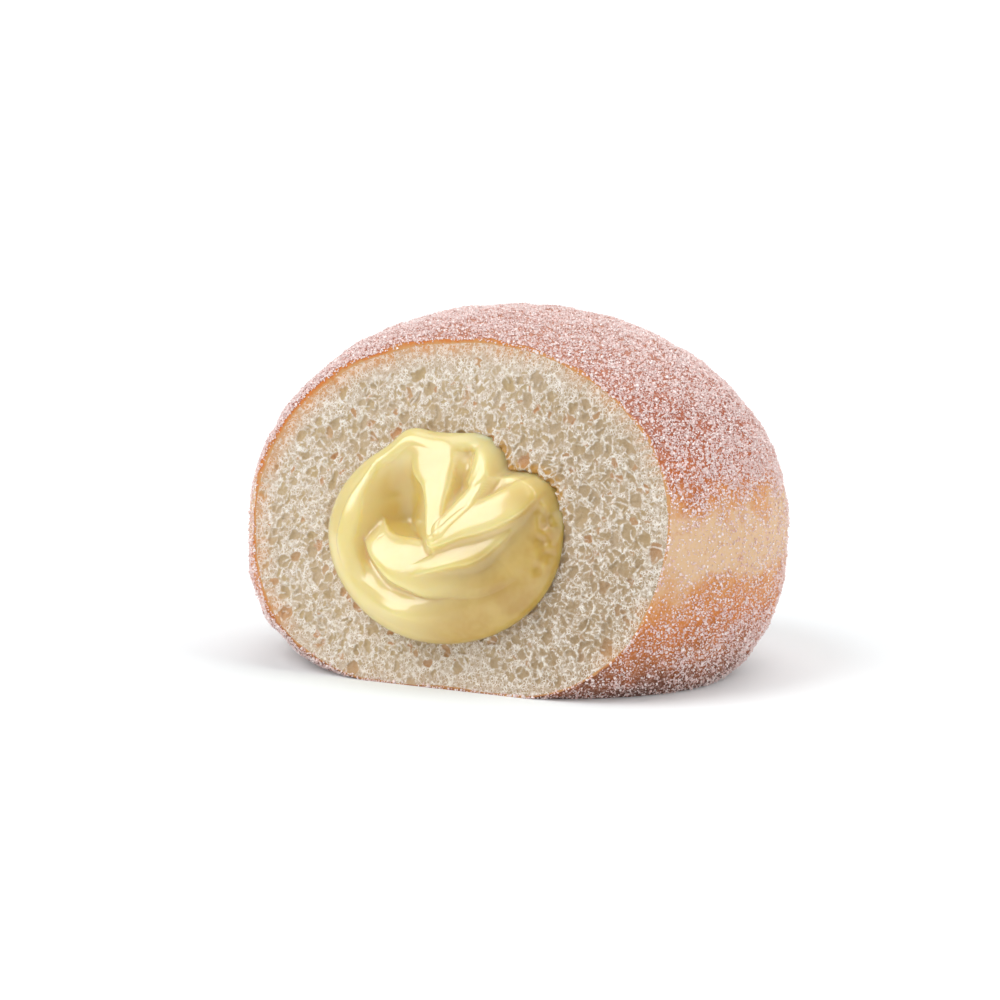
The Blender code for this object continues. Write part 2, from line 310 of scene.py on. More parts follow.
def tucked(turns):
    """1 where the crumb laps over the custard, 0 where the custard is free."""
    return towards(turns, TUCK_SIDE, TUCK_SPREAD, 4)


def pocket_rings(turns, inset, steps):
    """Rings from the blind end of the pocket out to its mouth."""
    mouth = inset_ring(turns, inset, 0.0)
    centre = np.array([*FILLING_CENTRE, 0.0])
    rings = []
    for step in range(1, steps + 1):
        turn = 0.5 * math.pi * step / steps
        share = math.sin(turn) ** (2.0 / POCKET_POWER)
        depth = POCKET_DEPTH * math.cos(turn) ** (2.0 / POCKET_POWER)
        rings.append(centre + (mouth - centre) * share - np.array([0.0, 0.0, depth]))
    return rings


# --- random fields ------------------------------------------------------------------------
def wander(points, size, seed):
    """A smooth random field of unit spread over points, with bumps of about a given size."""
    rng = np.random.default_rng(seed)
    total = np.zeros(points.shape[:-1])
    waves = 20
    for _ in range(waves):
        way = rng.normal(size=points.shape[-1])
        way *= FULL_TURN / size * rng.uniform(0.7, 1.4) / np.linalg.norm(way)
        total += np.cos(points @ way + rng.uniform(0.0, FULL_TURN))
    return total / math.sqrt(0.5 * waves)


def soft_noise(rng, shape, size):
    """A smooth random field of unit spread on a grid, with features some cells across."""
    high = np.fft.fftfreq(shape[0])[:, None]
    wide = np.fft.rfftfreq(shape[1])[None, :]
    keep = np.exp(-2.0 * (math.pi * size / 2.5) ** 2 * (high**2 + wide**2))
    field = np.fft.irfft2(np.fft.rfft2(rng.normal(size=shape)) * keep, s=shape)
    return field / field.std()


def ease(value, low, high):
    """0 below low, 1 above high, and a smooth step between them."""
    share = np.clip((value - low) / (high - low), 0.0, 1.0)
    return share * share * (3.0 - 2.0 * share)


# --- meshes -------------------------------------------------------------------------------
def add_piece(name, points, face_blocks, material, smooth=True):
    """Make a piece from points and blocks of faces that have the same number of corners."""
    mesh = bpy.data.meshes.new(name)
    blocks = [np.asarray(block, np.int32) for block in face_blocks]
    corners = np.concatenate([block.ravel() for block in blocks])
    sizes = np.concatenate([np.full(len(block), block.shape[1]) for block in blocks])
    starts = np.concatenate([[0], np.cumsum(sizes)[:-1]]).astype(np.int32)
    mesh.vertices.add(len(points))
    mesh.vertices.foreach_set("co", np.asarray(points, np.float32).ravel())
    mesh.loops.add(len(corners))
    mesh.loops.foreach_set("vertex_index", corners)
    mesh.polygons.add(len(starts))
    mesh.polygons.foreach_set("loop_start", starts)
    mesh.update(calc_edges=True)
    mesh.polygons.foreach_set("use_smooth", np.full(len(starts), smooth))
    mesh.materials.append(material)
    piece = bpy.data.objects.new(name, mesh)
    bpy.context.scene.collection.objects.link(piece)
    return piece


def set_values(piece, name, values):
    """Store one number per point."""
    attribute = piece.data.attributes.new(name, "FLOAT", "POINT")
    attribute.data.foreach_set("value", np.asarray(values, np.float32))


def set_map(piece, places):
    """Lay a piece out flat for its baked picture, from one place per point."""
    layer = piece.data.uv_layers.new(name="OFBake")
    corners = np.empty(len(piece.data.loops), np.int32)
    piece.data.loops.foreach_get("vertex_index", corners)
    layer.data.foreach_set("uv", np.asarray(places, np.float32)[corners].ravel())


def strips(first, second):
    """Four-cornered faces between two closed rings of point numbers."""
    return np.stack([first, np.roll(first, -1), np.roll(second, -1), second], axis=1)


def fan(ring, tip):
    return np.stack([ring, np.roll(ring, -1), np.full_like(ring, tip)], axis=1)


def ring_numbers(first, count, rings):
    return [first + np.arange(count) + count * step for step in range(rings)]


# --- the crust ----------------------------------------------------------------------------
def crust_thickness(turns):
    """The crust is thickest at the upper left of the cut."""
    uneven = 0.12 * wander(around(turns), 0.35, 11) + 0.04 * wander(around(turns), 0.09, 12)
    return CRUST_THICKNESS * (0.58 + 0.75 * towards(turns, 138, 50) + uneven)


def rim_strength(turns):
    """How brown the crust's edge is: most at the upper left, least at the pale band."""
    uneven = 0.16 * wander(around(turns), 0.25, 13) + 0.12 * wander(around(turns), 0.05, 14)
    strength = 0.42 + 0.62 * towards(turns, 136, 55) + 0.30 * towards(turns, 262, 55)
    strength -= 0.30 * towards(turns, 186, 12) + 0.70 * towards(turns, 2, 18)
    return np.clip(strength + uneven, 0.0, 1.0)


def build_crust(material):
    """The fried skin: a thin shell with its edge on the cut."""
    turns = round_turns(CRUST_ROUND_STEPS)
    shares = np.linspace(0.0, 1.0, CRUST_DEEP_STEPS + 1)[:-1]
    dips = 0.5 * math.pi * shares**CRUST_ROW_CROWDING
    way = look_back(turns[None, :], dips[:, None])
    reach = crust_reach(way)
    outer = from_middle(way, reach)
    lumps = sum(size * wander(outer, scale, 20 + number)
                for number, (scale, size) in enumerate(CRUST_LUMPS))
    lumps *= ease(outer[..., 2], 0.3 * MM, 4.0 * MM)
    lumps = np.maximum(lumps, -DEEPEST_DENT)
    outer = from_middle(way, reach + lumps)
    dents = np.minimum(lumps, 0.0) * ease(dips, 0.0, 0.12)[:, None]
    inner = from_middle(way, reach + dents - crust_thickness(turns)[None, :])
    straight_back = look_back(np.zeros(1), 0.5 * math.pi)
    back_reach = crust_reach(straight_back)
    tips = np.concatenate([from_middle(straight_back, back_reach),
                           from_middle(straight_back, back_reach - CRUST_THICKNESS)])
    layers = len(dips)
    inner_rows = list(range(0, layers, 4))
    points = np.concatenate([
        outer.reshape(-1, 3), inner[inner_rows].reshape(-1, 3), tips, outer[0], inner[0]])
    count = CRUST_ROUND_STEPS
    out_rings = ring_numbers(0, count, layers)
    in_rings = ring_numbers(count * layers, count, len(inner_rows))
    tip = count * (layers + len(inner_rows))
    quads = [strips(near, far) for near, far in zip(out_rings, out_rings[1:])]
    quads += [strips(far, near) for near, far in zip(in_rings, in_rings[1:])]
    cut_rings = ring_numbers(tip + 2, count, 2)
    quads.append(strips(cut_rings[1], cut_rings[0]))
    ends = [fan(out_rings[-1], tip), fan(in_rings[-1], tip + 1)[:, ::-1]]
    piece = add_piece("dough_crust", points, [np.concatenate(quads), np.concatenate(ends)],
                      material)
    rim = np.zeros(len(points))
    rim[in_rings[0][0]:] = 1.0
    rim[cut_rings[0]] = 0.21
    set_values(piece, "rim", rim)
    strength = np.full(len(points), 0.5)
    for ring in out_rings + in_rings + cut_rings:
        strength[ring] = rim_strength(turns)
    set_values(piece, "rim_strength", strength)
    heights = np.arange(layers)[:, None] / layers
    rounds = around(turns)[None]
    lay = np.concatenate([
        (0.5 + 0.49 * (1.0 - 0.94 * heights)[..., None] * rounds).reshape(-1, 2),
        (0.5 + 0.02 * (0.99 - 0.9 * heights[inner_rows])[..., None] * rounds).reshape(-1, 2),
        np.full((2, 2), 0.5), 0.5 + 0.4985 * rounds[0], 0.5 + 0.4905 * rounds[0]])
    set_map(piece, lay)
    return piece, outer


# --- the crumb ----------------------------------------------------------------------------
def rim_reach(turns):
    """Distance from the middle of the cut to the inside of the crust."""
    return crust_reach(look_back(turns, np.zeros_like(turns))) - crust_thickness(turns)


def field_window(centre, reach, shape):
    """The part of the grid of cells within a reach of a point, or None outside the grid."""
    column = int((centre[0] - CRUMB_FIELD[0]) / CELL)
    row = int((centre[1] - CRUMB_FIELD[2]) / CELL)
    if not (reach < row < shape[0] - reach and reach < column < shape[1] - reach):
        return None
    return (slice(row - reach, row + reach + 1), slice(column - reach, column + reach + 1))


def press_pores(fields, rng, grid, openness, count, least, greatest):
    """Press bubbles into the crumb: round or upright hollows that do not run together."""
    across, up = grid
    low_u, high_u, low_v, high_v = CRUMB_FIELD
    for _ in range(count):
        centre = (rng.uniform(low_u, high_u), rng.uniform(low_v, high_v))
        radius = least + (greatest - least) * rng.random() ** 1.5
        stretch = 1.0 + 0.8 * rng.random()
        tilt = rng.normal(0.0, 0.4) - 0.008 * centre[0]
        chance, is_warm = rng.random(), rng.random() < WARM_SHARE
        depth = min(radius**1.5 * rng.uniform(0.45, 0.9), DEEPEST_PORE)
        shade = rng.uniform(0.35, 1.0)
        window = field_window(centre, int(radius * 2.0 / CELL) + 3, across.shape)
        if window is None or chance > openness[window].mean():
            continue
        off_u, off_v = across[window] - centre[0], up[window] - centre[1]
        along = off_v * math.cos(tilt) + off_u * math.sin(tilt)
        aside = off_u * math.cos(tilt) - off_v * math.sin(tilt)
        share = (aside / radius) ** 2 + (along / (radius * stretch)) ** 2
        if fields["pore_shade"][window][share < 1.0].mean() > PORE_CROWDING:
            continue
        inside = ease(share, 1.05, 0.7)
        bowl = depth * np.clip(1.0 - share, 0.0, 1.0) ** 0.8
        fields["sunk"][window] = np.maximum(fields["sunk"][window], bowl)
        # Painted shade: each pore's inside is tinted darker, by a random strength
        fields["pore_shade"][window] = np.maximum(fields["pore_shade"][window], shade * inside)
        # The bright lip round each pore is partly the crumb's paler wall and partly painted
        # highlight
        lip = np.exp(-(((share - 1.2) / 0.22) ** 2)) * rng.uniform(0.4, 1.0)
        fields["threads"][window] = np.maximum(fields["threads"][window] * (1.0 - inside), lip)
        if is_warm:
            fields["warm"][window] = np.maximum(
                fields["warm"][window], inside * rng.uniform(0.4, 1.0))


def lay_strands(field, threads, rng, count):
    """Stretch thin threads of crumb over the pores."""
    low_u, high_u, low_v, high_v = CRUMB_FIELD
    for _ in range(count):
        start = np.array([rng.uniform(low_u, high_u), rng.uniform(low_v, high_v)])
        length = rng.uniform(0.8, 3.2)
        heading = rng.uniform(0.0, FULL_TURN)
        bend = rng.normal(0.0, 0.6)
        height = rng.uniform(0.0, 0.3)
        for step in np.linspace(0.0, 1.0, int(length / CELL) + 2):
            angle = heading + bend * step
            place = start + length * step * np.array([math.cos(angle), math.sin(angle)])
            window = field_window(place, 1, field.shape)
            if window is not None:
                sag = height + 0.8 * step * (1.0 - step)
                field[window] = np.minimum(field[window], sag)
                threads[window] = np.maximum(threads[window], 0.8)


def crumb_relief(rng):
    """Fields over the cut: how deep the crumb lies, what it looks like, how far in it is."""
    low_u, high_u, low_v, high_v = CRUMB_FIELD
    plain_u, plain_v = np.meshgrid(np.arange(low_u, high_u, CELL), np.arange(low_v, high_v, CELL))
    shape = plain_u.shape
    coarse_warp, fine_warp = 10, 4
    grid = [plain + 0.20 * soft_noise(rng, shape, coarse_warp)
            + 0.05 * soft_noise(rng, shape, fine_warp) for plain in (plain_u, plain_v)]
    turns = np.arctan2(plain_v - CUT_MIDDLE[1] / MM, plain_u)
    table = round_turns(RIM_TABLE_STEPS)
    reach = np.interp(np.remainder(turns, FULL_TURN), np.append(table, FULL_TURN),
                      np.append(rim_reach(table), rim_reach(table[:1])) / MM)
    inward = reach - np.hypot(plain_u, plain_v - CUT_MIDDLE[1] / MM)
    rightness = ease(plain_u, 2.0, 22.0)
    highness = ease(plain_v, 4.0, 22.0)
    lowness = ease(-plain_v, 12.0, 22.0)
    dense_depth = 2.2 + 3.0 * highness * (1.0 - 0.6 * rightness) + 1.0 * rightness
    openness = ease(inward, 0.4 * dense_depth, 1.6 * dense_depth)
    coarse = openness * (0.55 + 0.45 * rightness + 0.2 * highness) * (1.0 - 0.4 * lowness)
    fields = {name: np.zeros(shape) for name in ("sunk", "pore_shade", "warm", "threads")}
    for count, least, greatest in PORES:
        press_pores(fields, rng, grid, coarse, count, least, greatest)
    lay_strands(fields["sunk"], fields["threads"], rng, STRANDS)
    fields["sunk"] += 0.03 * soft_noise(rng, shape, 4) + 0.12 * soft_noise(rng, shape, 60)
    # Painted shade: the crumb is coloured darker to the right, most at the lower right, and a
    # little at the bottom
    painted_shade = 0.65 * rightness + 0.55 * rightness * ease(-plain_v, -6.0, 8.0) + 0.15 * lowness
    return fields | {"open": coarse, "painted_shade": painted_shade, "inward": inward}


def sample(field, places):
    """Values of a grid of cells at points U and V, in millimetres."""
    column = (places[:, 0] - CRUMB_FIELD[0]) / CELL
    row = (places[:, 1] - CRUMB_FIELD[2]) / CELL
    left = np.clip(column.astype(int), 0, field.shape[1] - 2)
    low = np.clip(row.astype(int), 0, field.shape[0] - 2)
    part_u = np.clip(column - left, 0.0, 1.0)
    part_v = np.clip(row - low, 0.0, 1.0)
    return (
        field[low, left] * (1 - part_u) * (1 - part_v)
        + field[low, left + 1] * part_u * (1 - part_v)
        + field[low + 1, left] * (1 - part_u) * part_v
        + field[low + 1, left + 1] * part_u * part_v
    )


def crumb_mouth_inset(turns):
    """How far the crumb's edge round the custard lies inside the custard's outline."""
    ragged = 1.0 + 0.55 * wander(around(turns), 0.30, 31) + 0.45 * wander(around(turns), 0.09, 32)
    lap = LAP * tucked(turns) * np.maximum(ragged, 0.0)
    return by_side(turns, OVERHANG) + MOUTH_MARGIN + lap


def loop_clearance(places, loop, centre):
    """How far places lie outside a loop, measured away from its centre."""
    off, loop_off = places - np.array(centre), loop - np.array(centre)
    angle = np.remainder(np.arctan2(loop_off[:, 1], loop_off[:, 0]), FULL_TURN)
    order = np.argsort(angle)
    limit = np.interp(np.arctan2(off[:, 1], off[:, 0]), angle[order],
                      np.hypot(loop_off[:, 0], loop_off[:, 1])[order], period=FULL_TURN)
    return np.hypot(off[:, 0], off[:, 1]) - limit


def crumb_lattice(rng):
    """Points all over the cut, in shaken rows."""
    low_u, high_u, low_v, high_v = CRUMB_FIELD
    lattice = np.stack(np.meshgrid(np.arange(low_u, high_u, CRUMB_SPACING),
                                   np.arange(low_v, high_v, CRUMB_SPACING * 0.866)), axis=-1)
    lattice[1::2, :, 0] += 0.5 * CRUMB_SPACING
    lattice += rng.uniform(-0.22, 0.22, lattice.shape) * CRUMB_SPACING
    return lattice.reshape(-1, 2) * MM


def build_crumb(material):
    """The bread inside the crust: an open web on the cut, with the pocket behind it."""
    rng = np.random.default_rng(7)
    relief = crumb_relief(rng)
    turns = round_turns(CRUMB_LOOP_STEPS)
    outer_reach = rim_reach(turns) + RIM_OVERLAP
    outer = CUT_MIDDLE + outer_reach[:, None] * around(turns)
    mouth_inset = crumb_mouth_inset(turns)
    mouth = inset_ring(turns, mouth_inset, 0.0)[:, :2]

    def between(places, margin):
        """Which places are inside the outer loop and outside the custard's mouth."""
        outer_off = loop_clearance(places, outer, CUT_MIDDLE)
        return (outer_off < -margin) & (loop_clearance(places, mouth, FILLING_CENTRE) > margin)

    lattice = crumb_lattice(rng)
    free = lattice[between(lattice, LOOP_MARGIN)]
    places = np.concatenate([outer, mouth, free])
    count = CRUMB_LOOP_STEPS
    loops = ring_numbers(0, count, 2)
    edges = [pair for loop in loops for pair in np.stack([loop, np.roll(loop, -1)], 1).tolist()]
    result = delaunay_2d_cdt([Vector(place / MM) for place in places], edges, [], 0, 1e-7)
    web = np.array([point[:] for point in result[0]])[: len(places)] * MM
    triangles = np.array(result[2])
    triangles = triangles[(triangles < len(places)).all(axis=1)]
    triangles = triangles[between(web[triangles].mean(axis=1), 0.0)]
    # the relief
    cells = web / MM
    sink = sample(relief["sunk"], cells)
    inward = sample(relief["inward"], cells)
    off = web - np.array(FILLING_CENTRE)
    angle = np.arctan2(off[:, 1] / FILLING_HALF_HEIGHT, off[:, 0] / FILLING_HALF_WIDTH)
    reach_u, reach_v = outline_reach(angle)
    from_custard = (np.hypot(off[:, 0], off[:, 1]) - np.hypot(reach_u, reach_v)) / MM
    torn = tucked(angle)
    swell = torn * 0.5 * np.exp(-((from_custard / 1.6) ** 2))
    sink_near = sink * ease(inward, 0.0, 1.3)
    out = (-sink_near + swell) * MM
    out[:count] = -0.01 * MM
    out[count:2 * count] = (-0.5 - 0.3 * torn[count:2 * count]) * MM
    front = from_cut(np.column_stack([web, out]))
    # the back, against the inside of the crust, and the pocket
    points = [front]
    total = len(front)
    points.append(front[:count])
    back_loops = [total + np.arange(count)]
    total += count
    gap = DEEPEST_DENT + CRUMB_MARGIN
    for step in range(1, CRUMB_BACK_STEPS):
        way = look_back(turns, np.full_like(turns, 0.5 * math.pi * step / CRUMB_BACK_STEPS))
        points.append(from_middle(way, crust_reach(way) - crust_thickness(turns) - gap))
        back_loops.append(total + np.arange(count))
        total += count
    pocket_loops = [loops[1]]
    for ring in pocket_rings(turns, mouth_inset, POCKET_STEPS)[-2::-1]:
        points.append(from_cut(ring))
        pocket_loops.append(total + np.arange(count))
        total += count
    straight_back = look_back(np.zeros(1), 0.5 * math.pi)
    points.append(from_middle(straight_back, crust_reach(straight_back) - CRUST_THICKNESS - gap))
    points.append(from_cut(np.array([[*FILLING_CENTRE, -POCKET_DEPTH]])))
    quads = [strips(near, far) for near, far in zip(back_loops, back_loops[1:])]
    quads += [strips(far, near) for near, far in zip(pocket_loops, pocket_loops[1:])]
    ends = [fan(back_loops[-1], total), fan(pocket_loops[-1], total + 1)[:, ::-1], triangles]
    points = np.concatenate(points)
    piece = add_piece("dough_crumb", points, [np.concatenate(quads), np.concatenate(ends)],
                      material)

    def whole(values):
        return np.concatenate([values, np.zeros(len(points) - len(front))])

    for name in ("pore_shade", "warm", "threads", "open", "painted_shade"):
        set_values(piece, name, whole(sample(relief[name], cells)))
    off = web - np.array(CUT_MIDDLE)
    browned = rim_strength(np.arctan2(off[:, 1], off[:, 0]))
    browned *= np.exp(-((inward / BROWNED_DEPTH) ** 2)) * 0.85
    browned *= 1.0 - 0.85 * ease(-web[:, 1] / MM, 12.0, 20.0)
    set_values(piece, "browned", whole(browned))
    set_values(piece, "torn", whole(torn * ease(1.6 - from_custard, 0.0, 1.6)))
    flat = 0.5 + 0.98 * (web - CRUMB_MAP_MIDDLE) / CRUMB_MAP_WIDTH
    hidden = 0.005 + 0.03 * (points[len(front):, :2] / HIDDEN_MAP_WIDTH + 0.5)
    set_map(piece, np.concatenate([flat, hidden]))
    return piece


# --- the custard --------------------------------------------------------------------------
def smooth_path(points):
    """Points along a Catmull-Rom curve through the given ones, in metres."""
    given = np.array(points) * MM
    given = np.vstack([2 * given[0] - given[1], given, 2 * given[-1] - given[-2]])
    pieces = []
    share = np.linspace(0.0, 1.0, FOLD_SAMPLES // (len(points) - 1))[:, None]
    for before, start, end, after in zip(given, given[1:], given[2:], given[3:]):
        pieces.append(0.5 * (
            2 * start
            + (end - before) * share
            + (2 * before - 5 * start + 4 * end - after) * share**2
            + (3 * start - before - 3 * end + after) * share**3
        ))
    return np.vstack(pieces)


def fold_rise(ring, path, power):
    """Height of one fold over each point of a ring: a broad back with steep sides."""
    ahead = np.gradient(path[:, :2], axis=0)
    offset = ring[:, None, :2] - path[None, :, :2]
    near = np.argmin(np.hypot(offset[..., 0], offset[..., 1]), axis=1)
    row = np.arange(len(ring))
    length = np.maximum((ahead[near] ** 2).sum(axis=1), 1e-18)
    step = near + np.clip((offset[row, near] * ahead[near]).sum(axis=1) / length, -0.5, 0.5)
    step = np.clip(step, 0.0, len(path) - 1.0)
    low = np.minimum(step.astype(int), len(path) - 2)
    part = (step - low)[:, None]
    place = path[low] * (1.0 - part) + path[low + 1] * part
    offset = ring[:, :2] - place[:, :2]
    across = np.hypot(offset[:, 0], offset[:, 1])
    side = ahead[near, 0] * offset[:, 1] - ahead[near, 1] * offset[:, 0]
    side /= np.sqrt(length)
    width, crest, lean = place[:, 2], place[:, 3], place[:, 4] / MM
    share = np.minimum(across / width, 1.0)
    back = FOLD_SIDE_DROP * width * (1.0 - (1.0 - share**power) ** (1.0 / power))
    skirt = FOLD_SKIRT_SLOPE * np.maximum(across - width, 0.0)
    return crest - back - skirt + lean * np.clip(side, -width, width)


def outer_lobe_rise(turns, inset, ring):
    """Height of the outer lobe, which rolls up from its edge and sinks to a hollow floor."""
    edge = by_side(turns, EDGE_LIFT)
    crest = by_side(turns, CREST_RISE)
    shoulder = by_side(turns, SHOULDER_WIDTH)
    climb = np.maximum(0.0, 1.0 - inset / shoulder)
    fall = np.maximum(0.0, (inset - 1.15 * shoulder) / FLOOR_SLOPE_WIDTH)
    rise = edge + (crest - edge) * np.sqrt(1.0 - climb**2)
    rise -= (crest - FLOOR_RISE) * (1.0 - np.exp(-(fall**2)))
    beaded = towards(turns, 24, 30) * np.exp(-(((inset - BEAD_INSET) / BEAD_BELT) ** 2))
    rise += BEAD_HEIGHT * beaded * wander(ring[:, :2], BEAD_SIZE, 65)
    for centre_u, centre_v, half_width, half_height, depth in np.array(HOLLOWS) * MM:
        off_u = (ring[:, 0] - centre_u) / half_width
        off_v = (ring[:, 1] - centre_v) / half_height
        rise -= depth * np.exp(-(off_u**2) - off_v**2) * np.clip(inset / FOLD_MARGIN - 1, 0, 1)
    return rise


def front_ring(turns, inset, folds):
    """A ring over the front of the custard, raised by the folds."""
    ring = inset_ring(turns, inset, 0.0)
    lobe = outer_lobe_rise(turns, inset, ring)
    moved = ring.copy()
    for axis in (0, 1):
        moved[:, axis] += FOLD_WANDER * wander(ring[:, :2], FOLD_WANDER_SIZE, 60 + axis)
    layers = np.array([lobe] + [fold_rise(moved, *fold) for fold in folds])
    top = layers.max(axis=0)
    crowd = np.exp((layers - top) / CREASE_SOFTNESS).sum(axis=0)
    folded = top + CREASE_SOFTNESS * np.log(crowd)
    share = ease(inset, 0.0, FOLD_MARGIN)
    ring[:, 2] = lobe + (folded - lobe) * share
    held = tucked(turns) * (1.0 - ease(inset, 0.0, TUCK_WIDTH))
    ring[:, 2] -= (ring[:, 2] + TUCK_DEPTH) * held
    return ring


def build_custard(material):
    """The filling: it runs back into the dough and swells out of the cut in folds."""
    turns = round_turns(CUSTARD_ROUND_STEPS)
    overhang = by_side(turns, OVERHANG)
    lift = by_side(turns, EDGE_LIFT)
    folds = [(smooth_path(path), power) for path, power in FOLDS.values()]
    rings = pocket_rings(turns, overhang, POCKET_STEPS)
    held = tucked(turns)
    for step in range(CUSTARD_EDGE_STEPS):
        dip = 0.5 * math.pi * (1.0 - step / CUSTARD_EDGE_STEPS)
        ring = inset_ring(turns, overhang * (1.0 - math.cos(dip)), lift * (1.0 - math.sin(dip)))
        ring[:, 2] -= (ring[:, 2] + TUCK_DEPTH) * held
        rings.append(ring)
    reach = np.hypot(*outline_reach(turns))
    for step in range(CUSTARD_FRONT_STEPS):
        share = (step / CUSTARD_FRONT_STEPS) ** CUSTARD_ROW_CROWDING
        rings.append(front_ring(turns, reach * share, folds))
    count = CUSTARD_ROUND_STEPS
    numbers = ring_numbers(0, count, len(rings))
    tips = [[*FILLING_CENTRE, -POCKET_DEPTH], [*FILLING_CENTRE, rings[-1][:, 2].mean()]]
    points = from_cut(np.concatenate(rings + [np.array(tips)]))
    last = count * len(rings)
    quads = np.concatenate([strips(near, far) for near, far in zip(numbers, numbers[1:])])
    ends = np.concatenate([fan(numbers[0], last)[:, ::-1], fan(numbers[-1], last + 1)])
    piece = add_piece("custard_filling", points, [quads, ends], material)
    flat = np.concatenate(rings + [np.array(tips)])
    off = flat[:, :2] - FILLING_CENTRE
    behind = count * POCKET_STEPS
    depth = np.zeros(len(flat))
    # Painted shade: custard lying low in the hollows, away from its outline, is coloured darker
    depth[behind:] = ease(SHADED_HOLLOW_BELOW - flat[behind:, 2], 0.0, 4.0 * MM)
    from_edge = np.hypot(off[:, 0] / FILLING_HALF_WIDTH, off[:, 1] / FILLING_HALF_HEIGHT)
    set_values(piece, "hollow", depth * ease(from_edge, 0.85, 0.65))
    across, up, out = flat.T / MM
    # Painted shade: the right and lower parts are coloured darker, less so on the high crests in
    # the upper half
    far = ease(SHADE_RIGHTWARDS * across - SHADE_UPWARDS * up, 0.0, 0.65)
    set_values(piece, "far", far * (1.0 - 0.85 * ease(out, 5.2, 6.8) * ease(up, -2.0, 2.0)))
    lay = 0.5 + 0.92 * off / CUSTARD_MAP_WIDTH
    lay[:behind] = 0.01 + 0.04 * lay[:behind]
    set_map(piece, lay)
    return piece


# --- the sugar ----------------------------------------------------------------------------
def crystal_shape(kind):
    """Corners and faces of one crystal of unit size."""
    if kind == "block":
        corners = np.array([[x, y, z] for x in (-1, 1) for y in (-1, 1) for z in (-1, 1)]) * 0.5
        faces = [[0, 1, 3], [0, 3, 2], [4, 6, 7], [4, 7, 5], [0, 4, 5], [0, 5, 1],
                 [2, 3, 7], [2, 7, 6], [0, 2, 6], [0, 6, 4], [1, 5, 7], [1, 7, 3]]
    elif kind == "diamond":
        corners = np.array([[1, 0, 0], [-1, 0, 0], [0, 1, 0], [0, -1, 0], [0, 0, 1],
                            [0, 0, -1]]) * 0.62
        faces = [[0, 2, 4], [2, 1, 4], [1, 3, 4], [3, 0, 4], [2, 0, 5], [1, 2, 5], [3, 1, 5],
                 [0, 3, 5]]
    else:
        corners = np.array([[1, 1, 1], [1, -1, -1], [-1, 1, -1], [-1, -1, 1]]) * 0.5
        faces = [[0, 1, 2], [0, 3, 1], [0, 2, 3], [1, 3, 2]]
    return corners, np.array(faces)


def random_turns(rng, count):
    """Random rotations, as matrices."""
    quat = rng.normal(size=(count, 4))
    w, x, y, z = (quat / np.linalg.norm(quat, axis=1)[:, None]).T
    return np.stack([
        1 - 2 * (y * y + z * z), 2 * (x * y - z * w), 2 * (x * z + y * w),
        2 * (x * y + z * w), 1 - 2 * (x * x + z * z), 2 * (y * z - x * w),
        2 * (x * z - y * w), 2 * (y * z + x * w), 1 - 2 * (x * x + y * y),
    ], axis=1).reshape(-1, 3, 3)


def sugar_cover(places):
    """How thickly the sugar lies: patchy, fullest on the top left, thin on the pale band."""
    height = places[..., 2] / MM + 1.6 * wander(places, 9 * MM, 41)
    height = height + 0.9 * wander(places, 3.0 * MM, 44)
    cover = 0.22 + 0.78 * ease(height, 28.5, 35.0)
    cover += 0.34 * (1.0 - ease(height, 12.0, 21.0)) - 0.16 * (1.0 - ease(height, 2.0, 6.0))
    cover *= 1.0 + 0.35 * ease(-places[..., 0] / MM, -4.0, 26.0)
    patches = 1.0 + 0.22 * wander(places, 4.5 * MM, 42) + 0.26 * wander(places, 1.5 * MM, 43)
    from_face = (places[..., 2] - WAIST_HEIGHT) * math.sin(CUT_LEAN) - (
        places[..., 1] + CUT_SETBACK) * math.cos(CUT_LEAN)
    patches *= 1.0 - 0.30 * np.exp(-((from_face / (5.0 * MM)) ** 2))
    return np.clip(cover * np.maximum(patches, 0.1), 0.02, 1.5)


def cut_edge_places(rng, count):
    """Places for crystals that hang over the edge of the cut."""
    turns = rng.uniform(0.0, FULL_TURN, count)
    reach = crust_reach(look_back(turns, np.zeros_like(turns)))
    reach -= rng.exponential(0.22 * MM, count) - 0.1 * MM
    return from_cut(np.stack([
        CUT_MIDDLE[0] + reach * np.cos(turns), CUT_MIDDLE[1] + reach * np.sin(turns),
        rng.uniform(0.0, 0.12 * MM, count)], axis=-1))


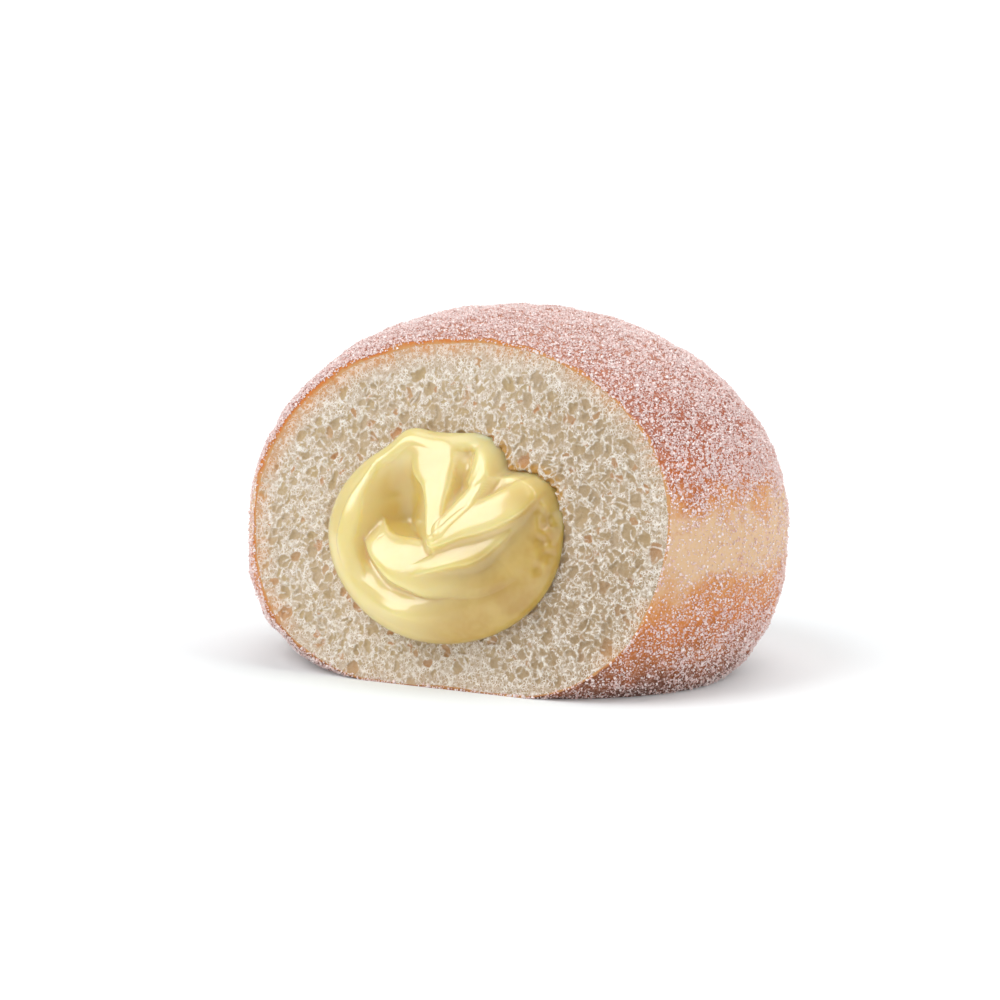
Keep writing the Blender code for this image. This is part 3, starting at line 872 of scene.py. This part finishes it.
def build_sugar(outer, material):
    """Crystals stuck all over the crust, one piece for each kind."""
    shut = np.concatenate([outer, outer[:, :1]], axis=1)
    corners = [part.reshape(-1, 3)
               for part in (shut[:-1, :-1], shut[:-1, 1:], shut[1:, 1:], shut[1:, :-1])]
    first, second, third = (np.concatenate([corners[one], corners[other]])
                            for one, other in ((0, 0), (1, 2), (2, 3)))
    cross = np.cross(second - first, third - first)
    area = 0.5 * np.linalg.norm(cross, axis=1)
    normal = cross / (2.0 * area[:, None] + 1e-15)
    inward = np.einsum("ij,ij->i", normal, first - np.array([0.0, 0.0, WAIST_HEIGHT])) < 0
    normal[inward] *= -1.0
    centre = (first + second + third) / 3.0
    weight = area * sugar_cover(centre) * (centre[:, 2] > BARE_FOOT)
    chance = np.cumsum(weight) / weight.sum()
    pieces = []
    for number, (name, kind, count, least, greatest) in enumerate(SUGAR_KINDS):
        rng = np.random.default_rng(100 + number)
        pick = np.searchsorted(chance, rng.random(count))
        share_a, share_b = rng.random(count), rng.random(count)
        over = share_a + share_b > 1.0
        share_a[over], share_b[over] = 1.0 - share_a[over], 1.0 - share_b[over]
        place = (first[pick] + (second[pick] - first[pick]) * share_a[:, None]
                 + (third[pick] - first[pick]) * share_b[:, None])
        size = rng.uniform(least, greatest, count)
        place += normal[pick] * (size * rng.uniform(*SUGAR_SEAT, count))[:, None]
        spilt = rng.random(count) < SUGAR_ON_THE_CUT
        place[spilt] = cut_edge_places(rng, int(spilt.sum()))
        shape, faces = crystal_shape(kind)
        scale = size[:, None] * rng.uniform(0.72, 1.12, (count, 3))
        solid = np.einsum("nij,nkj->nki", random_turns(rng, count), shape[None] * scale[:, None])
        solid += place[:, None]
        solid[:, :, 2] -= np.minimum(solid[:, :, 2].min(axis=1), 0.0)[:, None]
        points = solid.reshape(-1, 3)
        triangles = (faces[None] + len(shape) * np.arange(count)[:, None, None]).reshape(-1, 3)
        piece = add_piece(name, points, [triangles], material, smooth=False)
        set_values(piece, "tone", np.repeat(rng.random(count), len(shape)))
        side = int(math.ceil(math.sqrt(count)))
        cell = np.arange(count)
        low = np.stack([cell % side, cell // side], axis=1) / side
        corner = np.array([[0.15, 0.15], [0.85, 0.15], [0.15, 0.85]]) / side
        layer = piece.data.uv_layers.new(name="OFBake")
        places = np.repeat(low, len(faces), axis=0)[:, None] + corner[None]
        layer.data.foreach_set("uv", places.astype(np.float32).ravel())
        pieces.append(piece)
    return pieces


# --- finishes -----------------------------------------------------------------------------
def add_node(tree, kind, inputs=(), **settings):
    """Add a node, with links from sockets and plain values for the rest of its inputs."""
    made = tree.nodes.new(kind)
    for key, value in settings.items():
        setattr(made, key, value)
    for key, value in dict(inputs).items():
        if isinstance(value, bpy.types.NodeSocket):
            tree.links.new(value, made.inputs[key])
        else:
            made.inputs[key].default_value = value
    return made


def colour(red, green, blue):
    """A colour from its screen values, 0 to 255, as linear red, green and blue."""
    def linear(value):
        value /= 255.0
        return value / 12.92 if value <= 0.04045 else ((value + 0.055) / 1.055) ** 2.4
    return (linear(red), linear(green), linear(blue), 1.0)


def new_group(name, inputs, outputs):
    """An empty shader group with named inputs and outputs."""
    group = bpy.data.node_groups.new(name, "ShaderNodeTree")
    for label, kind, value in inputs:
        socket = group.interface.new_socket(label, in_out="INPUT", socket_type=kind)
        socket.default_value = value
    for label, kind in outputs:
        group.interface.new_socket(label, in_out="OUTPUT", socket_type=kind)
    return group, group.nodes.new("NodeGroupInput"), group.nodes.new("NodeGroupOutput")


def reckon(tree, operation, *values):
    """The socket of a sum, product or other reckoning."""
    return add_node(tree, "ShaderNodeMath", dict(enumerate(values)),
                    operation=operation).outputs[0]


def multiply(tree, first, second):
    return reckon(tree, "MULTIPLY", first, second)


def blend(tree, share, first, second):
    """The socket of a colour blended from two others."""
    return add_node(tree, "ShaderNodeMix", {0: share, 6: first, 7: second},
                    data_type="RGBA").outputs[2]


def value_of(tree, name):
    """The socket of a number stored per point."""
    return add_node(tree, "ShaderNodeAttribute", attribute_name=name).outputs["Fac"]


def place_in(tree):
    return add_node(tree, "ShaderNodeTexCoord").outputs["Object"]


def noise(tree, scale, detail, roughness=0.5):
    """The node of a random field, with bumps about 1/scale of a metre apart."""
    return add_node(tree, "ShaderNodeTexNoise", {
        "Vector": place_in(tree), "Scale": scale, "Detail": detail, "Roughness": roughness})


def remap(tree, value, low, high, least=0.0, greatest=1.0, way="SMOOTHSTEP"):
    """The socket of a value moved from one range to another."""
    return add_node(tree, "ShaderNodeMapRange", {
        "Value": value, "From Min": low, "From Max": high, "To Min": least, "To Max": greatest},
        interpolation_type=way).outputs[0]


def make_mottle_group():
    """Blends two colours in soft patches."""
    group, given, result = new_group("patchy colour", [
        ("Colour", "NodeSocketColor", (1, 1, 1, 1)),
        ("Patch Colour", "NodeSocketColor", (0, 0, 0, 1)),
        ("Patches Per Metre", "NodeSocketFloat", 500.0), ("Share", "NodeSocketFloat", 0.5),
        ("Edge", "NodeSocketFloat", 0.1), ("Strength", "NodeSocketFloat", 1.0)],
        [("Colour", "NodeSocketColor")])
    share, edge = given.outputs["Share"], given.outputs["Edge"]
    patches = noise(group, given.outputs["Patches Per Metre"], 3.0, 0.6).outputs["Fac"]
    mask = remap(group, patches, reckon(group, "SUBTRACT", share, edge),
                 reckon(group, "ADD", share, edge), 0.0, given.outputs["Strength"])
    mixed = blend(group, mask, given.outputs["Colour"], given.outputs["Patch Colour"])
    group.links.new(mixed, result.inputs["Colour"])
    return group


def make_web_group():
    """Tiny bubbles: 1 on the thin walls between them, and 1 in the middle of the open ones."""
    group, given, result = new_group("fine web", [
        ("Bubbles Per Metre", "NodeSocketFloat", 2000.0), ("Wall", "NodeSocketFloat", 0.12),
        ("Open Share", "NodeSocketFloat", 0.5), ("Uprightness", "NodeSocketFloat", 1.3)],
        [("Wall", "NodeSocketFloat"), ("Hollow", "NodeSocketFloat")])
    bend = add_node(group, "ShaderNodeVectorMath", {
        0: noise(group, 900.0, 1.0).outputs["Color"], "Scale": 0.5 * MM}, operation="SCALE")
    moved = add_node(group, "ShaderNodeVectorMath", {
        0: place_in(group), 1: bend.outputs[0]}, operation="ADD")
    size = add_node(group, "ShaderNodeCombineXYZ", {
        "X": 1.0, "Y": 1.0, "Z": reckon(group, "DIVIDE", 1.0, given.outputs["Uprightness"])})
    stretched = add_node(group, "ShaderNodeVectorMath", {
        0: moved.outputs[0], 1: size.outputs[0]}, operation="MULTIPLY")
    bubbles = {"Vector": stretched.outputs[0], "Scale": given.outputs["Bubbles Per Metre"]}
    edges = add_node(group, "ShaderNodeTexVoronoi", bubbles, feature="DISTANCE_TO_EDGE")
    cells = add_node(group, "ShaderNodeTexVoronoi", bubbles, feature="F1")
    wall = remap(group, edges.outputs["Distance"], 0.0, given.outputs["Wall"], 1.0, 0.0)
    dip = remap(group, edges.outputs["Distance"], 0.04, 0.30)
    tone = add_node(group, "ShaderNodeSeparateColor", {0: cells.outputs["Color"]})
    chosen = reckon(group, "SUBTRACT", given.outputs["Open Share"], tone.outputs[0])
    hollow = multiply(group, dip, remap(group, chosen, -0.05, 0.25, way="LINEAR"))
    group.links.new(wall, result.inputs["Wall"])
    group.links.new(hollow, result.inputs["Hollow"])
    return group


def make_bump_group():
    """A fine unevenness of the surface."""
    group, given, result = new_group("fine bumps", [
        ("Bumps Per Metre", "NodeSocketFloat", 1000.0), ("Height", "NodeSocketFloat", 0.0001),
        ("Strength", "NodeSocketFloat", 1.0)], [("Normal", "NodeSocketVector")])
    bump = add_node(group, "ShaderNodeBump", {
        "Height": noise(group, given.outputs["Bumps Per Metre"], 4.0, 0.65).outputs["Fac"],
        "Distance": given.outputs["Height"], "Strength": given.outputs["Strength"]})
    group.links.new(bump.outputs["Normal"], result.inputs["Normal"])
    return group


def new_material(name, settings):
    """A material with a Principled shader, and its uniform values set on the shader."""
    material = bpy.data.materials.new(name)
    material.use_nodes = True
    shader = material.node_tree.nodes["Principled BSDF"]
    for key, value in settings.items():
        shader.inputs[key].default_value = value
    return material, material.node_tree, shader


def use_group(tree, group, inputs):
    return add_node(tree, "ShaderNodeGroup", inputs, node_tree=group)


# Browning of the crust, with painted shade darkening it near the floor: height in millimetres and
# colour there, and how far it swirls
SWIRL = 15.0 * MM
BROWNING_AND_SHADE = (
    # the lowest stops, darker towards the floor, are partly the fried colour and partly painted
    # shade
    (0.0, colour(104, 60, 42)),
    (4.0, colour(140, 76, 34)),
    (12.0, colour(204, 118, 46)),
    (17.5, colour(216, 146, 80)),
    (21.0, colour(226, 188, 146)),
    (29.0, colour(228, 190, 148)),
    (32.5, colour(218, 146, 80)),
    (36.0, colour(194, 106, 52)),
    (44.0, colour(170, 88, 54)),
    (58.0, colour(186, 128, 104)),
)
RIM_COLOUR = colour(212, 122, 52)
RIM_FADE = colour(208, 156, 100)
RIM_FOOT = colour(150, 82, 46)
DUST_COLOUR = colour(226, 196, 186)
SPECK_COLOUR = colour(190, 96, 40)

# the crumb's paler thin walls, partly painted highlight
CRUMB_WALL_AND_HIGHLIGHT = colour(252, 247, 240)
CRUMB_MIDDLE = colour(195, 174, 149)
# painted shade colour inside the pores
CRUMB_PORE_SHADE = colour(190, 165, 124)
# painted shade colour for the right and lower parts of the cut
CRUMB_PAINTED_SHADE = colour(158, 132, 98)
# an orange-brown tint for the crumb next to the custard
CRUMB_LAP_TINT = colour(200, 148, 60)
CRUMB_WARM = colour(196, 134, 82)
CRUMB_BROWNED = colour(214, 142, 74)

CUSTARD_LIGHT = (0.79, 0.66, 0.29, 1.0)
CUSTARD_DEEP = (0.77, 0.60, 0.19, 1.0)
# painted shade colour for the custard's hollows
CUSTARD_HOLLOW_SHADE = (0.73, 0.515, 0.13, 1.0)
# painted shade colour for the custard's right and lower parts
CUSTARD_PAINTED_SHADE = (0.50, 0.298, 0.025, 1.0)

SUGAR_WHITE = colour(255, 245, 243)
SUGAR_ROSE = colour(234, 196, 189)


def make_crust_material(mottle, bumps):
    material, tree, shader = new_material("sugared fried crust", {
        "Roughness": 0.55, "Specular IOR Level": 0.35})
    height = add_node(tree, "ShaderNodeSeparateXYZ", {0: place_in(tree)}).outputs["Z"]
    swirl = noise(tree, 130.0, 5.0, 0.62).outputs["Fac"]
    moved = reckon(tree, "MULTIPLY_ADD", reckon(tree, "SUBTRACT", swirl, 0.5), SWIRL, height)
    share = reckon(tree, "DIVIDE", moved, TOP_HEIGHT)
    ramp = add_node(tree, "ShaderNodeValToRGB", {0: share})
    stops = ramp.color_ramp.elements
    stops[0].color, stops[1].color = BROWNING_AND_SHADE[0][1], BROWNING_AND_SHADE[-1][1]
    for level, shade in BROWNING_AND_SHADE[1:-1]:
        stops.new(level * MM / TOP_HEIGHT).color = shade
    specks = use_group(tree, mottle, {
        "Colour": ramp.outputs["Color"], "Patch Colour": SPECK_COLOUR,
        "Patches Per Metre": 420.0, "Share": 0.62, "Edge": 0.08, "Strength": 0.35})
    dust = use_group(tree, mottle, {
        "Colour": specks.outputs["Colour"], "Patch Colour": DUST_COLOUR,
        "Patches Per Metre": 2200.0, "Share": 0.56, "Edge": 0.10, "Strength": 0.45})
    rim = value_of(tree, "rim")
    fade = reckon(tree, "MULTIPLY_ADD", noise(tree, 1500.0, 3.0).outputs["Fac"], 1.1, rim)
    # The crust's cut edge is darker towards the foot
    rim_rise = remap(tree, height, 2.0 * MM, 14.0 * MM)
    rim_shade = blend(tree, rim_rise, RIM_FOOT, RIM_COLOUR)
    inside = blend(tree, remap(tree, fade, 0.95, 1.60), rim_shade, RIM_FADE)
    pale = blend(tree, value_of(tree, "rim_strength"), RIM_FADE, inside)
    final = blend(tree, remap(tree, rim, 0.1, 0.2), dust.outputs["Colour"], pale)
    tree.links.new(final, shader.inputs["Base Color"])
    rough = use_group(tree, bumps, {
        "Bumps Per Metre": 1500.0, "Height": 0.25 * MM, "Strength": 0.6})
    tree.links.new(rough.outputs["Normal"], shader.inputs["Normal"])
    return material


def make_crumb_material(mottle, web):
    material, tree, shader = new_material("bread crumb", {
        "Roughness": 0.72, "Specular IOR Level": 0.25, "Subsurface Weight": 0.18,
        "Subsurface Radius": (1.0, 0.75, 0.5), "Subsurface Scale": 0.8 * MM})
    fine = use_group(tree, web, {
        "Bubbles Per Metre": 2300.0, "Wall": 0.16, "Open Share": 0.75, "Uprightness": 1.25})
    small = use_group(tree, web, {
        "Bubbles Per Metre": 1050.0, "Wall": 0.09, "Uprightness": 1.45,
        "Open Share": remap(tree, value_of(tree, "open"), 0.0, 1.0, 0.10, 0.55)})
    pore_shade = value_of(tree, "pore_shade")
    flatness = remap(tree, pore_shade, 0.1, 0.5, 1.0, 0.10)
    fine_dip = multiply(tree, fine.outputs["Hollow"], flatness)
    small_dip = multiply(tree, small.outputs["Hollow"], flatness)
    # Partly painted highlight: the walls and threads are whitened as the crumb's paler walls and
    # as glints on them, in random patches
    gleam = remap(tree, noise(tree, 1500.0, 2.0).outputs["Fac"], 0.35, 0.60, 0.25, 1.0)
    walls = reckon(tree, "MAXIMUM", fine.outputs["Wall"], small.outputs["Wall"])
    walls = reckon(tree, "MAXIMUM", multiply(tree, walls, flatness), value_of(tree, "threads"))
    walls = multiply(tree, walls, gleam)
    # Painted shade: the tiny bubbles and the pores are tinted towards a darker tan
    base = blend(tree, multiply(tree, fine_dip, 0.25), CRUMB_MIDDLE, CRUMB_PORE_SHADE)
    base = blend(tree, multiply(tree, small_dip, 0.30), base, CRUMB_PORE_SHADE)
    base = blend(tree, pore_shade, base, CRUMB_PORE_SHADE)
    # An orange-brown tint in the pores next to the custard, where the crumb laps over it
    lap_tint = multiply(tree, value_of(tree, "torn"), remap(tree, pore_shade, 0.0, 0.6, 0.25, 1.0))
    base = blend(tree, lap_tint, base, CRUMB_LAP_TINT)
    base = blend(tree, multiply(tree, value_of(tree, "warm"), 0.8), base, CRUMB_WARM)
    # Painted shade on the right and lower parts of the cut
    base = blend(tree, multiply(tree, value_of(tree, "painted_shade"), 0.60), base, CRUMB_PAINTED_SHADE)
    base = blend(tree, multiply(tree, walls, 0.90), base, CRUMB_WALL_AND_HIGHLIGHT)
    browned = multiply(tree, value_of(tree, "browned"), remap(tree, walls, 0.0, 0.8, 1.0, 0.45))
    base = blend(tree, browned, base, CRUMB_BROWNED)
    patched = use_group(tree, mottle, {
        "Colour": base, "Patch Colour": CRUMB_MIDDLE, "Patches Per Metre": 500.0,
        "Share": 0.55, "Edge": 0.12, "Strength": 0.25})
    tree.links.new(patched.outputs["Colour"], shader.inputs["Base Color"])
    dip = reckon(tree, "MULTIPLY_ADD", fine_dip, 0.45, small_dip)
    bump = add_node(tree, "ShaderNodeBump", {
        "Height": dip, "Distance": 0.14 * MM, "Strength": 0.4}, invert=True)
    tree.links.new(bump.outputs["Normal"], shader.inputs["Normal"])
    return material


def make_custard_material(mottle, bumps):
    material, tree, shader = new_material("custard", {
        "Roughness": 0.44, "Subsurface Weight": 0.9, "Subsurface Radius": (1.0, 0.72, 0.28),
        "Subsurface Scale": 7.0 * MM, "Specular IOR Level": 0.6, "Coat Weight": 1.0,
        "Coat Roughness": 0.16, "Coat IOR": 1.62})
    # Painted shade: a darker colour in the custard's hollows
    base = blend(tree, value_of(tree, "hollow"), CUSTARD_LIGHT, CUSTARD_HOLLOW_SHADE)
    # Painted shade on the custard's right and lower parts, which face away from the light
    base = blend(tree, value_of(tree, "far"), base, CUSTARD_PAINTED_SHADE)
    patched = use_group(tree, mottle, {
        "Colour": base, "Patch Colour": CUSTARD_DEEP, "Patches Per Metre": 160.0,
        "Share": 0.5, "Edge": 0.2, "Strength": 0.4})
    tree.links.new(patched.outputs["Colour"], shader.inputs["Base Color"])
    rough = use_group(tree, bumps, {
        "Bumps Per Metre": 420.0, "Height": 0.10 * MM, "Strength": 0.25})
    tree.links.new(rough.outputs["Normal"], shader.inputs["Normal"])
    return material


def make_sugar_material(bumps):
    material, tree, shader = new_material("sugar", {
        "Roughness": 0.22, "Specular IOR Level": 0.6, "IOR": 1.55})
    shade = blend(tree, value_of(tree, "tone"), SUGAR_WHITE, SUGAR_ROSE)
    tree.links.new(shade, shader.inputs["Base Color"])
    rough = use_group(tree, bumps, {
        "Bumps Per Metre": 6000.0, "Height": 0.03 * MM, "Strength": 0.4})
    tree.links.new(rough.outputs["Normal"], shader.inputs["Normal"])
    return material


# --- the stage ----------------------------------------------------------------------------
# The floor is a white table that is lit from below
FLOOR_GLOW = 0.10
FLOOR_HALF_WIDTH = 3.0
LIGHT_DISTANCE = 0.6


def build_floor():
    """A plain pale floor."""
    material, _, _ = new_material("pale floor", {
        "Base Color": (0.86, 0.90, 0.92, 1.0), "Roughness": 0.9, "Specular IOR Level": 0.1,
        "Emission Color": (1.0, 1.0, 1.0, 1.0), "Emission Strength": FLOOR_GLOW})
    corners = [(x * FLOOR_HALF_WIDTH, y * FLOOR_HALF_WIDTH, 0.0)
               for x, y in ((-1, -1), (1, -1), (1, 1), (-1, 1))]
    add_piece("floor", corners, [[(0, 1, 2, 3)]], material)


def add_light(name, direction, strength, spread):
    """A soft light from far off, in a direction from the doughnut."""
    lamp = bpy.data.lights.new(name, "SUN")
    lamp.energy = strength
    lamp.angle = math.radians(spread)
    holder = bpy.data.objects.new(name, lamp)
    bpy.context.scene.collection.objects.link(holder)
    holder.location = Vector(direction).normalized() * LIGHT_DISTANCE
    holder.rotation_euler = Vector(direction).to_track_quat("Z", "Y").to_euler()


# The lights: direction, strength and how wide each looks, in degrees
LIGHTS = {
    "key light": ((-0.30, -0.34, 0.53), 1.60, 42.0),
    "front light": ((0.06, -0.56, 0.20), 0.38, 60.0),
    "side light": ((0.60, 0.16, 0.40), 0.90, 60.0),
    "top light": ((0.06, 0.25, 0.62), 1.40, 60.0),
}
ROOM_LIGHT = 0.25


def light_scene():
    for name, (direction, strength, spread) in LIGHTS.items():
        add_light(name, direction, strength, spread)
    world = bpy.data.worlds.new("white room")
    bpy.context.scene.world = world
    world.use_nodes = True
    tree = world.node_tree
    sky = tree.nodes["Background"]
    sky.inputs["Color"].default_value = (1.0, 1.0, 1.0, 1.0)
    seen = add_node(tree, "ShaderNodeLightPath").outputs["Is Camera Ray"]
    strength = remap(tree, seen, 0.0, 1.0, ROOM_LIGHT, 1.0)
    tree.links.new(strength, sky.inputs["Strength"])
    bpy.context.scene.view_settings.view_transform = "Standard"


# The camera: its direction, how far it is turned about its line of sight, its aim and lens
CAMERA_SIDE = math.radians(22.79)
CAMERA_HEIGHT = math.radians(9.77)
CAMERA_ROLL = math.radians(1.7)
CAMERA_AIM = Vector((0.0, 0.0, 26.4 * MM))
CAMERA_DISTANCE = 1.056
CAMERA_SHIFT = 3.278 * MM
CAMERA_LENS = 231.7


def place_camera():
    back = Vector((
        math.sin(CAMERA_SIDE) * math.cos(CAMERA_HEIGHT),
        -math.cos(CAMERA_SIDE) * math.cos(CAMERA_HEIGHT),
        math.sin(CAMERA_HEIGHT)))
    turned = back.to_track_quat("Z", "Y").to_matrix() @ Matrix.Rotation(CAMERA_ROLL, 3, "Z")
    lens = bpy.data.cameras.new("camera")
    lens.sensor_width = 36.0
    lens.lens = CAMERA_LENS
    lens.clip_start = 0.05
    camera = bpy.data.objects.new("camera", lens)
    bpy.context.scene.collection.objects.link(camera)
    place = CAMERA_AIM + back * CAMERA_DISTANCE - turned.col[0] * CAMERA_SHIFT
    camera.matrix_world = Matrix.Translation(place) @ turned.to_4x4()
    bpy.context.scene.camera = camera


# --- put together -------------------------------------------------------------------------
mottle_group = make_mottle_group()
bump_group = make_bump_group()
crust, crust_surface = build_crust(make_crust_material(mottle_group, bump_group))
crumb = build_crumb(make_crumb_material(mottle_group, make_web_group()))
custard = build_custard(make_custard_material(mottle_group, bump_group))
sugar = build_sugar(crust_surface, make_sugar_material(bump_group))
build_floor()
light_scene()
place_camera()

for piece in (crust, crumb, *sugar):
    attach(piece, "root")
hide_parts("dough")
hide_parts("dough")
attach(custard, "root")
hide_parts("custard")
